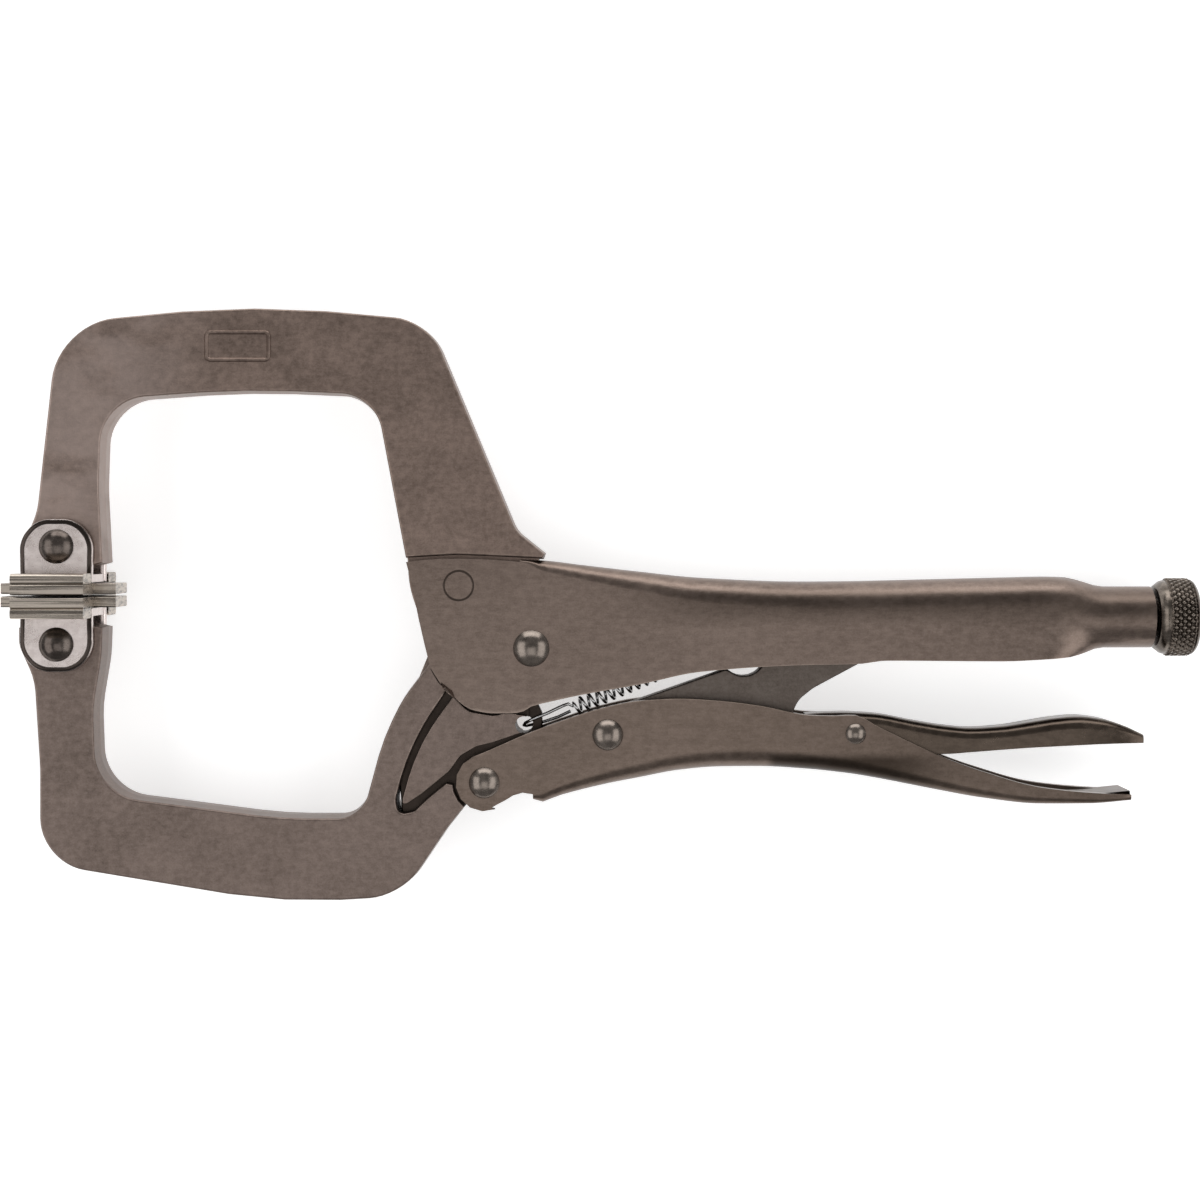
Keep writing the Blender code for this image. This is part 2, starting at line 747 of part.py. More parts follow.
def pad(name, pin, side):
    """A cross-shaped face plate whose two ends are folded over into hems."""
    face = PAD_LINE + side * 0.28
    back = face + side * 2.5
    hem_back = face + side * 4.85
    low, high = sorted((face, back))
    strip = box_cutter(f"{name}_strip", (pin[0] - 13.3, low, -5.8), (pin[0] + 13.3, high, 5.8))
    shape = bmesh.new()
    bmesh.ops.create_cube(shape, size=1)
    bmesh.ops.scale(shape, verts=shape.verts, vec=(16.6 * MM, (high - low) * MM, 2 * PAD_HALF * MM))
    bmesh.ops.translate(shape, verts=shape.verts, vec=(pin[0] * MM, (low + high) / 2 * MM, MID * MM))
    mesh = bpy.data.meshes.new(name)
    shape.to_mesh(mesh)
    shape.free()
    plate_object = link(bpy.data.objects.new(name, mesh))
    boolean(plate_object, strip, "UNION")
    low, high = sorted((back - side * 0.8, hem_back))
    for end in (-1, 1):
        near, far = sorted((end * 8.6, end * PAD_HALF))
        hem = box_cutter(f"{name}_hem_{end}", (pin[0] - 8.3, low, near), (pin[0] + 8.3, high, far))
        boolean(plate_object, hem, "UNION")
    soften = plate_object.modifiers.new("edges", "BEVEL")
    soften.width = 0.5 * MM
    soften.segments = 2
    soften.limit_method = "ANGLE"
    hinge_on(plate_object, pin)
    paint(plate_object, (0.46, 0.43, 0.38), 0.35)


# ---- rivets ----


def rivets():
    """Every pin that holds the tool together, with domed heads outside the sheet."""
    color = (0.28, 0.26, 0.24)
    sheet_face = JAW_HALF + GAP
    lever_face = LEVER_HALF[0] + GAP
    rear_face = LEVER_HALF[1] + GAP
    toggle_face = LEVER_HALF[0] + 0.1 + GAP
    ear_face = JAW_HALF + 0.25 + 1.8 + GAP
    domed = [
        ("jaw_pivot_rivet", JAW_PIVOT, JAW_PIN_RADIUS, JAW_HEAD_RADIUS, 1.9, sheet_face),
        ("lever_front_rivet", LEVER_PIVOT, PIN_RADIUS, HEAD_RADIUS, 1.7, lever_face),
        ("toggle_rivet", TOGGLE_PIVOT, PIN_RADIUS, HEAD_RADIUS, 1.7, toggle_face),
        ("release_rivet", RELEASE_PIVOT, RELEASE_PIN_RADIUS, RELEASE_HEAD_RADIUS, 1.1, rear_face),
        ("upper_pad_rivet", UPPER_PAD_PIN, PAD_PIN_RADIUS, PAD_HEAD_RADIUS, 1.9, ear_face),
        ("lower_pad_rivet", LOWER_PAD_PIN, PAD_PIN_RADIUS, PAD_HEAD_RADIUS, 1.9, ear_face),
    ]
    for name, pivot, shank, head, crown, seat in domed:
        paint(domed_rivet(name, pivot, shank, head, crown, seat), color, 0.25)
    flush = [
        (0, JAW_HALF),
        (FLUSH_RIVET_RADIUS, JAW_HALF),
        (FLUSH_RIVET_RADIUS, -JAW_HALF),
        (0, -JAW_HALF),
    ]
    paint(turned("fixed_jaw_rivet", flush, (*FIXED_JAW_RIVET, MID)), color, 0.4)


clear_scene()
fixed_jaw()
moving_jaw()
upper_handle()
lever()
release_lever()
toggle_link()
return_spring()
adjusting_screw()
adjusting_knob()
pad_clevis("upper_pad_clevis", UPPER_PAD_PIN, 1)
pad_clevis("lower_pad_clevis", LOWER_PAD_PIN, -1)
pad("upper_pad", UPPER_PAD_PIN, 1)
pad("lower_pad", LOWER_PAD_PIN, -1)
rivets()
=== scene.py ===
"""Locking C-clamp pliers lying flat.

The looks of the forgings, pressings, rivets, spring and screw, drawn over the CAD nodes.
Shapes are drawn in millimetres about the tool's middle plane, and set_in places them.
"""

from math import asin, ceil, cos, pi, radians, sin, tan

import bmesh
import bpy
from mathutils import Matrix, Vector
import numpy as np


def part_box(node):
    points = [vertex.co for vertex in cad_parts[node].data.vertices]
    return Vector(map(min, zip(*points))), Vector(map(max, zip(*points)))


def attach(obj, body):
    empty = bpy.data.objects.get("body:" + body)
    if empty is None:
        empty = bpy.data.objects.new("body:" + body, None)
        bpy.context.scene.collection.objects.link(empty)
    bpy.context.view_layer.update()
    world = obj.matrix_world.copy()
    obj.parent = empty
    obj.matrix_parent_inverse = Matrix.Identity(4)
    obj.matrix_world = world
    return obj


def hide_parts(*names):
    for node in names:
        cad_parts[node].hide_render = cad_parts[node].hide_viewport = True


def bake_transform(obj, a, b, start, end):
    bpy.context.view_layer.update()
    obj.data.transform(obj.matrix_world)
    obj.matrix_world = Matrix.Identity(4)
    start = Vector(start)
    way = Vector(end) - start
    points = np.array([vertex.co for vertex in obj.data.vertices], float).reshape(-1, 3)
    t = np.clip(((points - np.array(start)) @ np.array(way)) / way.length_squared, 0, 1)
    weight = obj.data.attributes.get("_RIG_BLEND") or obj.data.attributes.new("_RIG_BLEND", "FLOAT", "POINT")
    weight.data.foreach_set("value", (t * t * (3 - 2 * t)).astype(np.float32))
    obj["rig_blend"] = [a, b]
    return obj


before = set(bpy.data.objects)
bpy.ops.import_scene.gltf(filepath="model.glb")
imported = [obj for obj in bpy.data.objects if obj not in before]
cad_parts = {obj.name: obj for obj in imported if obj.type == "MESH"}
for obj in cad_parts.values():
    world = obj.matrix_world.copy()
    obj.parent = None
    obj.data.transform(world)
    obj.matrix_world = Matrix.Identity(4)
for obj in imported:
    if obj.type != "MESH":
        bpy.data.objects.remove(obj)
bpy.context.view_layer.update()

# ---- The fixed jaw ----
# A drop forging in the shape of a C, tumbled and dulled. Its walls slope to a parting line half
# way through, its rim is rounded, and a thinner tang goes between the handle's cheeks.

MM = 0.001
MID = sum(corner.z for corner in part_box("fixed_jaw")) / 2  # height of the tool's middle plane
JAW_HALF = 5.6  # half the forging's thickness
TANG_HALF = 3.1
BRIGHT_EDGE = (0.34, 0.27, 0.23)  # colour of rubbed edges on the darker steels


class Shade:
    """A colour or number that varies over a surface: maths on it adds shader nodes."""

    def __init__(self, tree, socket=None):
        self.tree = tree
        self.socket = socket

    def make(self, kind, settings=None, sockets=None, output=0):
        node = self.tree.nodes.new("ShaderNode" + kind)
        for name, value in (settings or {}).items():
            setattr(node, name, value)
        for name, value in (sockets or {}).items():
            if isinstance(value, Shade):
                self.tree.links.new(value.socket, node.inputs[name])
            else:
                node.inputs[name].default_value = value
        return Shade(self.tree, node.outputs[output])

    def maths(self, operation, first, second):
        return self.make("Math", {"operation": operation}, {0: first, 1: second})

    def __add__(self, other):
        return self.maths("ADD", self, other)

    def __radd__(self, other):
        return self.maths("ADD", other, self)

    def __sub__(self, other):
        return self.maths("SUBTRACT", self, other)

    def __rsub__(self, other):
        return self.maths("SUBTRACT", other, self)

    def __mul__(self, other):
        return self.maths("MULTIPLY", self, other)

    def __rmul__(self, other):
        return self.maths("MULTIPLY", other, self)

    def __truediv__(self, other):
        return self.maths("DIVIDE", self, other)

    def between(self, low, high):
        """0 below low and 1 above high, with an eased rise."""
        ease = {"interpolation_type": "SMOOTHSTEP"}
        return self.make("MapRange", ease, {"Value": self, "From Min": low, "From Max": high})

    def blend(self, dark, light):
        """The colour dark where this is 0 and light where it is 1."""
        colors = [c if isinstance(c, Shade) else (*c, 1) for c in (dark, light)]
        return self.make("Mix", {"data_type": "RGBA"}, {0: self, 6: colors[0], 7: colors[1]}, 2)

    def cloud(self, size, detail=3.0, roughness=0.55):
        """Soft patches of about this size in millimetres, at this place."""
        sockets = {
            "Vector": self, "Scale": 1 / (size * MM), "Detail": detail, "Roughness": roughness,
        }
        return self.make("TexNoise", None, sockets)


def steel_finish(
    name, deep, pale, bare_or_rim_reflection, roughness=0.42, patch=14, relief=0.35, drawn=(1, 1, 1), bands=0.22
):
    """Steel with a faint patina, fine grain and worn-through metal where worn is 1.

    Patches of about patch millimetres, squeezed by drawn, take it from deep to pale as far as
    bands says. On the ears the worn colour is a painted dark reflection on their rims. Returns
    the material, its shader, the place on the surface, the colour and the height of its relief.
    """
    material = bpy.data.materials.new(name)
    material.use_nodes = True
    tree = material.node_tree
    shader = tree.nodes["Principled BSDF"]
    shader.inputs["Metallic"].default_value = 1.0
    sheet = Shade(tree)
    place = sheet.make("TexCoord", output=3)
    along = sheet.make("Mapping", None, {"Vector": place, "Scale": drawn})
    patches = along.cloud(patch, 2.0, 0.6).between(0.36, 0.66)
    mottle = along.cloud(1.7, 3.0, 0.7)
    grain = place.cloud(0.35, 2.0, 0.6)
    worn = sheet.make("Attribute", {"attribute_name": "worn"}, output=2)
    lengthened = along.make("Mapping", None, {"Vector": along, "Scale": (0.35, 1.6, 1)})
    streaks = lengthened.cloud(0.9, 2.0, 0.6)
    base_tone = -0.33
    fine = mottle.between(0.3, 0.7) * 0.4
    tone = patches * bands + fine + grain * 0.6 + streaks * 0.4 + base_tone
    color = tone.blend(deep, pale)
    # Where worn, the metal shows bare; on the ears this colour is a painted dark reflection on the rims.
    rubbed_or_rim_reflection = (worn * (0.45 + mottle * 0.6)).between(0.3, 1.1)
    color = rubbed_or_rim_reflection.blend(color, bare_or_rim_reflection)
    finish = roughness + (mottle - 0.5) * 0.2 + (patches - 0.5) * 0.06 - rubbed_or_rim_reflection * 0.08
    height = mottle * 0.6 + grain * 0.4
    tree.links.new(color.socket, shader.inputs["Base Color"])
    tree.links.new(finish.socket, shader.inputs["Roughness"])
    relief_of(height, shader, relief)
    return material, shader, place, color, height


def repaint(material, color):
    """Set the colour of a finished material again."""
    tree = material.node_tree
    tree.links.new(color.socket, tree.nodes["Principled BSDF"].inputs["Base Color"])


def along_axis(place, axis):
    """One coordinate of the place, in millimetres, with Z from the middle plane."""
    origin = MID if axis == 2 else 0
    return (place.make("SeparateXYZ", None, {"Vector": place}, axis) - origin) / MM


def relief_of(height, shader, strength):
    """Turn a height into fine relief on the surface."""
    sockets = {"Height": height, "Strength": strength, "Distance": 0.12 * MM}
    bump = height.make("Bump", None, sockets)
    height.tree.links.new(bump.socket, shader.inputs["Normal"])


def blank(corners, turn=7):
    """A flat face from (x, y, corner radius) points, its corners rounded.

    A corner's arc has a segment for each turn of so many degrees.
    """
    shortest = 0.02
    mesh = bmesh.new()
    mesh.verts.layers.float.new("worn")
    points = [mesh.verts.new((x, y, 0)) for x, y, _ in corners]
    mesh.faces.new(points)
    places = [point.co.copy() for point in points]
    for i, point in enumerate(points):
        back = places[i - 1] - places[i]
        ahead = places[(i + 1) % len(places)] - places[i]
        half = back.angle(ahead) / 2
        reach = min(corners[i][2] / tan(half), 0.48 * back.length, 0.48 * ahead.length)
        if reach < shortest:
            continue
        bmesh.ops.bevel(
            mesh,
            geom=[point],
            offset=reach,
            offset_type="ABSOLUTE",
            segments=max(2, ceil((pi - 2 * half) / radians(turn))),
            profile=0.5,
            affect="VERTICES",
            material=-1,
        )
    mesh.normal_update()
    if mesh.faces[:][0].normal.z < 0:
        bmesh.ops.reverse_faces(mesh, faces=mesh.faces)
    return mesh


def draw_up(mesh, steps):
    """Raise the face in steps of (inwards, upwards, wear on the new rim)."""
    top = mesh.faces[:][0]
    wear = mesh.verts.layers.float["worn"]
    for inwards, upwards, amount in steps:
        bmesh.ops.inset_region(
            mesh,
            faces=[top],
            thickness=inwards,
            depth=upwards,
            use_even_offset=True,
            use_boundary=True,
        )
        for corner in top.verts:
            corner[wear] = amount
    return top


def forge(mesh, half, draft=3.0, rim=0.5, land=0.25, wear=0.8, spread=1):
    """Draw a flat face up into half a forging, then mirror it.

    Its walls go up by land and then slope at draft degrees. A rim rounds them over, spread
    times as wide as it is high, and is worn bright. The inset of all this has to stay below
    the outline's corner radii.
    """
    wall = half - rim - land
    steps = [(0.01, land, 0), (wall * tan(radians(draft)), wall, 0)]
    turns = [radians(angle) for angle in (0, 25, 50, 72, 90)]
    for first, last in zip(turns, turns[1:]):
        amount = wear * sin(last) if last < pi / 2 else wear * 0.5
        inwards = spread * rim * (cos(first) - cos(last))
        steps.append((inwards, rim * (sin(last) - sin(first)), amount))
    steps.append((0.1, 0, 0))
    draw_up(mesh, steps)
    geometry = mesh.verts[:] + mesh.edges[:] + mesh.faces[:]
    bmesh.ops.mirror(mesh, geom=geometry, matrix=Matrix.Identity(4), merge_dist=1e-4, axis="Z")
    bmesh.ops.recalc_face_normals(mesh, faces=mesh.faces)
    return mesh


def join(*meshes):
    """Put several meshes into the first one."""
    for extra in meshes[1:]:
        data = bpy.data.meshes.new("extra")
        extra.to_mesh(data)
        extra.free()
        meshes[0].from_mesh(data)
        bpy.data.meshes.remove(data)
    return meshes[0]


def set_in(mesh, name, body, nodes, material, crease=32):
    """Place a mesh drawn about the middle plane, and hang it on its body for its CAD nodes."""
    bmesh.ops.remove_doubles(mesh, verts=mesh.verts, dist=1e-4)
    bmesh.ops.scale(mesh, verts=mesh.verts, vec=(MM, MM, MM))
    bmesh.ops.translate(mesh, verts=mesh.verts, vec=(0, 0, MID))
    data = bpy.data.meshes.new(name)
    mesh.to_mesh(data)
    mesh.free()
    data.shade_smooth()
    data.set_sharp_from_angle(angle=radians(crease))
    data.materials.append(material)
    piece = bpy.data.objects.new(name, data)
    bpy.context.scene.collection.objects.link(piece)
    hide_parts(*nodes)
    if body:
        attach(piece, body)
    even = piece.modifiers.new("even shading", "WEIGHTED_NORMAL")
    even.keep_sharp = True
    return piece


def drill(mesh, holes, half):
    """Cut round holes, (x, y, radius), right through, and weld overlapping solids into one."""
    drills = bmesh.new()
    for x, y, radius in holes:
        made = bmesh.ops.create_cone(
            drills, cap_ends=True, segments=40, radius1=radius, radius2=radius, depth=2 * half
        )
        bmesh.ops.translate(drills, verts=made["verts"], vec=(x, y, 0))
    things = []
    for name, shape in (("drilled", mesh), ("drills", drills)):
        data = bpy.data.meshes.new(name)
        shape.to_mesh(data)
        shape.free()
        thing = bpy.data.objects.new(name, data)
        bpy.context.scene.collection.objects.link(thing)
        things.append(thing)
    cut = things[0].modifiers.new("drill", "BOOLEAN")
    cut.operation = "DIFFERENCE"
    cut.solver = "EXACT"
    cut.use_self = True
    cut.object = things[1]
    bpy.context.view_layer.update()
    seen = things[0].evaluated_get(bpy.context.evaluated_depsgraph_get())
    data = bpy.data.meshes.new_from_object(seen)
    drilled = bmesh.new()
    drilled.from_mesh(data)
    for thing in things:
        bpy.data.meshes.remove(thing.data)
    bpy.data.meshes.remove(data)
    return drilled


UPPER_PIN = (-125.3, 13.4)
FLUSH_RIVET = (-32.7, 4.4)
JAW_PIVOT = (-15.9, -10.2)

fixed_steel, _, place, color, _ = steel_finish(
    "fixed_jaw_steel", (0.135, 0.1, 0.083), (0.3, 0.225, 0.19), BRIGHT_EDGE, patch=11
)
# The plate is rubbed paler in drifts towards the jaw's outer end.
drift = place.make("Mapping", None, {"Vector": place, "Scale": (0.7, 1.5, 1)}).cloud(15, 4.0, 0.5)
outer_end = 1 - along_axis(place, 0).between(-114, -84)
rubbed_patch = (drift.between(0.38, 0.6) * 0.45 + 0.12) * outer_end
repaint(fixed_steel, rubbed_patch.blend(color, (0.4, 0.32, 0.288)))
upper_c = [
    (-134.3, 9.4, 0), (-134.3, 12.8, 6), (-130.6, 21.5, 14), (-125.8, 65.3, 16.5),
    (-80.0, 69.69, 180), (-39.6, 66.0, 13), (-19.2, 17.1, 6), (-12.6, 11.8, 0), (-13.1, 10.4, 0),
    (-33.0, 11.3, 40), (-45.2, 10.6, 0), (-52.3, 48.2, 9.5), (-82.0, 49.5, 180),
    (-115.1, 47.1, 13.5), (-115.8, 27.0, 40), (-114.9, 9.4, 0), (-125.3, 7.2, 12),
]
upper_tang = [
    (-14.2, 12.5, 0), (-14.2, -0.6, 0), (-17.4, -0.6, 2), (-20.4, -1.8, 2),
    (-40.0, -10.4, 0), (-42.3, -2.2, 20), (-44.4, 4.0, 20), (-44.9, 12.5, 0),
]

# A raised, empty frame on the near face, sunk a little so that it welds to the jaw.
sunk = 0.02
frame_corners = [(-91.6, 56.1, 1.5), (-76.1, 56.1, 1.5), (-76.1, 63.5, 1.5), (-91.6, 63.5, 1.5)]
size_frame = blank(frame_corners)
bmesh.ops.translate(size_frame, verts=size_frame.verts, vec=(0, 0, JAW_HALF - sunk))
ledge = [(0.2, 0.28, 0), (0.12, 0.08, 0.5), (0.4, 0, 0.5), (0.12, -0.08, 0), (0.2, -0.24, 0)]
draw_up(size_frame, ledge)
bmesh.ops.holes_fill(size_frame, edges=[e for e in size_frame.edges if e.is_boundary], sides=0)
bmesh.ops.recalc_face_normals(size_frame, faces=size_frame.faces)
jaw = join(forge(blank(upper_c), JAW_HALF), forge(blank(upper_tang), TANG_HALF, 0, 0.3), size_frame)
jaw = drill(jaw, [(*UPPER_PIN, 2.7), (*FLUSH_RIVET, 3.4)], 8)
set_in(jaw, "upper_c_jaw", "handle", ["fixed_jaw"], fixed_steel)

# ---- The moving jaw ----
# The other forged C. A groove sets a wedge-shaped island off from it, and it goes on as a tang
# between the cheeks of the handle and the lever, with a thin tab that holds the spring.

LOWER_PIN = (-125.3, -9.2)
LEVER_PIVOT = (-26.8, -41.3)
SPRING_HOLE = (-17.6, -27.9)

moving_steel, _, place, color, _ = steel_finish(
    "moving_jaw_steel", (0.122, 0.093, 0.079), (0.262, 0.204, 0.178), (0.3, 0.24, 0.21), patch=12
)
# Painted shade, with some real oxide, darkens the groove below the two outer faces.
off_middle = along_axis(place, 2)
open_face = off_middle.maths("ABSOLUTE", off_middle, 0).between(3.2, 4.6)
right, up = along_axis(place, 0), along_axis(place, 1)
inside = (right - up * 0.494).between(-32, -30) * up.between(-52, -50) * right.between(-51, -49)
groove_shade_and_oxide = (1 - open_face) * inside
repaint(moving_steel, groove_shade_and_oxide.blend(color, (0.04, 0.031, 0.026)))


def round_about(centre, radius, start, end, count):
    """Softened corner points on an arc, from one angle to another in degrees."""
    soft = 6
    angles = [radians(start + (end - start) * i / (count - 1)) for i in range(count)]
    return [(centre[0] + radius * cos(a), centre[1] + radius * sin(a), soft) for a in angles]


lower_c = [
    (-134.8, -5.2, 0), (-134.8, -9.6, 6), (-131.2, -17.5, 14), (-129.9, -38.0, 40),
    (-129.9, -60.1, 15.5), (-73.0, -69.5, 160), (-45.9, -67.9, 15), (-35.2, -52.0, 6),
    (-31.1, -46.8, 0), (-32.6, -45.2, 0), (-33.6, -43.2, 0), (-33.85, -41.6, 0),
    (-35.7, -41.2, 0), (-40.3, -44.9, 10), (-43.2, -47.7, 1.6), (-46.4, -48.4, 1.6),
    (-47.1, -45.4, 4), (-44.7, -36.4, 40), (-40.6, -28.0, 40), (-35.1, -19.8, 0),
    (-39.3, -13.2, 0), (-45.9, -21.8, 25), (-50.4, -30.8, 45), (-55.4, -49.3, 7),
    (-74.0, -49.3, 90), (-116.4, -43.8, 12), (-117.1, -24.0, 25), (-115.1, -12.0, 30),
    (-114.9, -5.2, 0), (-125.3, -3.0, 12),
]
island = [
    (-34.0, -21.0, 0), (-39.3, -28.3, 40), (-43.4, -36.0, 40), (-46.65, -47.75, 1.3),
    (-41.0, -43.9, 12), (-34.8, -38.8, 6), (-32.2, -35.2, 3),
    (-28.6, -33.1, 4), (-24.8, -32.2, 3), (-19.9, -30.5, 2), (-16.4, -29.4, 0),
    *round_about(JAW_PIVOT, 15.5, -92, -110, 3), (-24.6, -25.7, 4), (-30.4, -24.7, 3),
]
lower_tang = [
    *round_about(JAW_PIVOT, 9.0, 0, 118, 8), (-40.0, -11.9, 0), (-47.4, -30.0, 0),
    (-46.0, -49.5, 2), (-36.5, -50.2, 2), *round_about(LEVER_PIVOT, 6.1, 232, 360, 8),
    (-20.5, -33.5, 2), (-16.5, -32.2, 0), (-16.5, -22.5, 0), (-6.9, -12.0, 6),
]
tab = [
    (-18.0, -31.6, 0), (-13.4, -29.6, 0.8), (-13.5, -25.4, 0.8), (-15.0, -22.3, 0),
    (-18.0, -22.3, 0),
]
jaw = join(
    forge(blank(lower_c), JAW_HALF),
    forge(blank(island), JAW_HALF, 2, 0.25),
    forge(blank(lower_tang), TANG_HALF, 0, 0.3),
    forge(blank(tab), 1.5, 0, 0.3),
)
holes = [(*JAW_PIVOT, 3.2), (*LEVER_PIVOT, 2.9), (*LOWER_PIN, 2.7), (*SPRING_HOLE, 2.0)]
jaw = drill(jaw, holes, 8)
set_in(jaw, "lower_c_jaw", "moving_jaw", ["moving_jaw"], moving_steel)

# ---- The handle ----
# One pressing: flat cheeks riveted over the jaws, then a channel with a broad bend along its
# back, whose end is rolled into the tube that the adjusting screw runs in.

SHEET = 2.15
RINGS = (0, 0.04, 0.14, 0.35, 0.55, 0.75, 0.9)  # steps up a leg from its lip
BEND = 9  # steps round the bend between leg and web
CREST = 3  # steps from the bend to the middle of the web
HANDLE_CHEEK = 5.6  # half the width over the flat cheeks


def eased(stations, place, column):
    """A station's value between stations, by a smooth curve that doesn't overshoot."""
    last = len(stations) - 2
    first = max(i for i in range(last + 1) if i == 0 or place >= stations[i][0])
    xs = [station[0] for station in stations]
    ys = [station[column] for station in stations]
    slopes = [(ys[i + 1] - ys[i]) / (xs[i + 1] - xs[i]) for i in range(last + 1)]

    def lean(i):
        if i == 0 or i == last + 1:
            return slopes[0 if i == 0 else last]
        if slopes[i - 1] * slopes[i] <= 0:
            return 0
        return 2 * slopes[i - 1] * slopes[i] / (slopes[i - 1] + slopes[i])

    width = xs[first + 1] - xs[first]
    t = (place - xs[first]) / width
    rise = (3 - 2 * t) * t * t
    start, end = lean(first) * width, lean(first + 1) * width
    level = ys[first] * (1 - rise) + ys[first + 1] * rise
    return level + start * t * (1 - t) ** 2 - end * t * t * (1 - t)


def press(stations, opens, front=None, step=2.2):
    """Sheet pressed along X into a channel that opens down (-1) or up (+1) in Y.

    A station is (x, half width, web y, lip y, bend radius, roundness). Roundness 1 rolls it into
    a tube that is nearly closed. front(x, y, up) moves a point of the cheek, whose place on its
    leg is up, from 0 at the lip to 1 at the bend.
    """
    tube_seam, tube_wrap = -86, 176  # degrees, where the rolled half starts and how far it goes
    low, high = stations[0][0], stations[-1][0]
    rows = ceil((high - low) / step)
    columns = 2 * (len(RINGS) + BEND + CREST)
    mesh = bmesh.new()
    wear = mesh.verts.layers.float.new("worn")
    bmesh.ops.create_grid(mesh, x_segments=rows, y_segments=columns, size=1)
    for point in mesh.verts:
        x = low + (high - low) * (point.co.x + 1) / 2
        column = round((point.co.y + 1) / 2 * columns)
        half, web, lip, radius, roundness = (eased(stations, x, i) for i in range(1, 6))
        k = min(column, columns - column)
        shoulder = web + opens * radius
        if k <= len(RINGS):
            up = RINGS[k] if k < len(RINGS) else 1.0
            z, y = half, lip + (shoulder - lip) * up
        elif k <= len(RINGS) + BEND:
            angle = pi / 2 * (k - len(RINGS)) / BEND
            z, y = half - radius * (1 - cos(angle)), shoulder - opens * radius * sin(angle)
        else:
            z, y = (half - radius) * (1 - (k - len(RINGS) - BEND) / CREST), web
        if roundness > 0:
            angle = radians(tube_seam + tube_wrap * k / (columns / 2))
            reach = abs(web - lip) / 2
            ring = (half * cos(angle), (web + lip) / 2 - opens * reach * sin(angle))
            z += (ring[0] - z) * roundness
            y += (ring[1] - y) * roundness
        if front:
            x, y = front(x, y, min(k / len(RINGS), 1))
        point.co = (x, y, z if column <= columns / 2 else -z)
        point[wear] = 1.0 if column in (0, columns) else 0.0
    return mesh


def trim_front(mesh, edge, cheek):
    """Take the web away ahead of an X, so that two flat cheeks this far out are left."""
    gone = []
    for face in mesh.faces:
        middle = face.calc_center_median()
        if middle.x < edge and abs(middle.z) < cheek - 0.001:
            gone.append(face)
    bmesh.ops.delete(mesh, geom=gone, context="FACES")


def fold_sheet(piece, thickness, rim=0.3):
    """Give a pressed face its sheet thickness and soft edges."""
    wall = piece.modifiers.new("sheet", "SOLIDIFY")
    wall.thickness = thickness * MM
    wall.offset = -1
    soft = piece.modifiers.new("soft edges", "BEVEL")
    soft.width = rim * MM
    soft.segments = 2
    soft.limit_method = "ANGLE"
    soft.angle_limit = radians(50)
    even = piece.modifiers["even shading"]
    piece.modifiers.move(piece.modifiers.find(even.name), len(piece.modifiers) - 1)


def outwards(mesh):
    """Turn a sheet's faces so that they point away from the inside of the channel."""
    bmesh.ops.recalc_face_normals(mesh, faces=mesh.faces)
    side = max(mesh.faces, key=lambda face: face.calc_center_median().z)
    if side.normal.z < 0:
        bmesh.ops.reverse_faces(mesh, faces=mesh.faces)


handle_stations = [
    (-44.9, 5.6, 10.2, -19.2, 0.4, 0),
    (-40.0, 5.6, 10.75, -22.6, 0.4, 0),
    (-35.4, 5.6, 11.0, -24.4, 0.4, 0),
    (-28.0, 5.6, 10.9, -25.2, 0.4, 0),
    (-20.0, 5.6, 10.4, -25.1, 0.4, 0),
    (-16.0, 5.6, 10.2, -23.5, 1.0, 0),
    (-13.2, 5.6, 10.1, -22.9, 2.6, 0),
    (-4.6, 5.6, 9.1, -21.0, 3.4, 0),
    (9.3, 5.6, 7.5, -18.5, 4.6, 0),
    (23.2, 5.95, 6.1, -15.6, 5.6, 0),
    (46.3, 6.6, 5.2, -14.0, 6.2, 0),
    (60.0, 6.95, 5.3, -13.7, 6.4, 0),
    (66.0, 7.1, 5.45, -12.95, 6.5, 0),
    (92.7, 7.15, 6.1, -13.1, 6.5, 0),
    (104.0, 7.15, 6.35, -12.6, 6.6, 0),
    (108.6, 7.15, 6.2, -12.2, 6.7, 0.15),
    (112.8, 7.15, 5.2, -11.3, 6.8, 0.6),
    (116.8, 7.15, 4.1, -10.3, 6.9, 1),
    (118.0, 7.15, 4.05, -10.25, 6.9, 1),
    (128.5, 7.15, 4.05, -10.25, 6.9, 1),
]


def handle_front(x, y, up):
    """The cheek's leading edge leans back from the seam to the heel, and bows a little."""
    cheek_end, cheek_length = -13.2, 31.7
    heel_back, bow = 9.3, 1.1
    if x > cheek_end:
        return x, y
    share = (cheek_end - x) / cheek_length
    lean = heel_back * (1 - up) - bow * 4 * up * (1 - up)
    return x + lean * share**1.3, y


handle_steel, shader, place, color, height = steel_finish(
    "handle_steel", (0.12, 0.09, 0.075), (0.25, 0.193, 0.163), BRIGHT_EDGE,
    roughness=0.34, patch=26, relief=0.22, drawn=(0.7, 1, 1),
)
# A fine dark ring round the flush rivet, 0 on the ring and 1 off it.
RIVET_RING = 3.4
flat = place.make("VectorMath", {"operation": "MULTIPLY"}, {0: place, 1: (1, 1, 0)})
centre = (FLUSH_RIVET[0] * MM, FLUSH_RIVET[1] * MM, 0)
reach = flat.make("VectorMath", {"operation": "DISTANCE"}, {0: flat, 1: centre}, 1)
off_ring = reach - RIVET_RING * MM
seam = off_ring.maths("ABSOLUTE", off_ring, 0).between(0.12 * MM, 0.34 * MM)
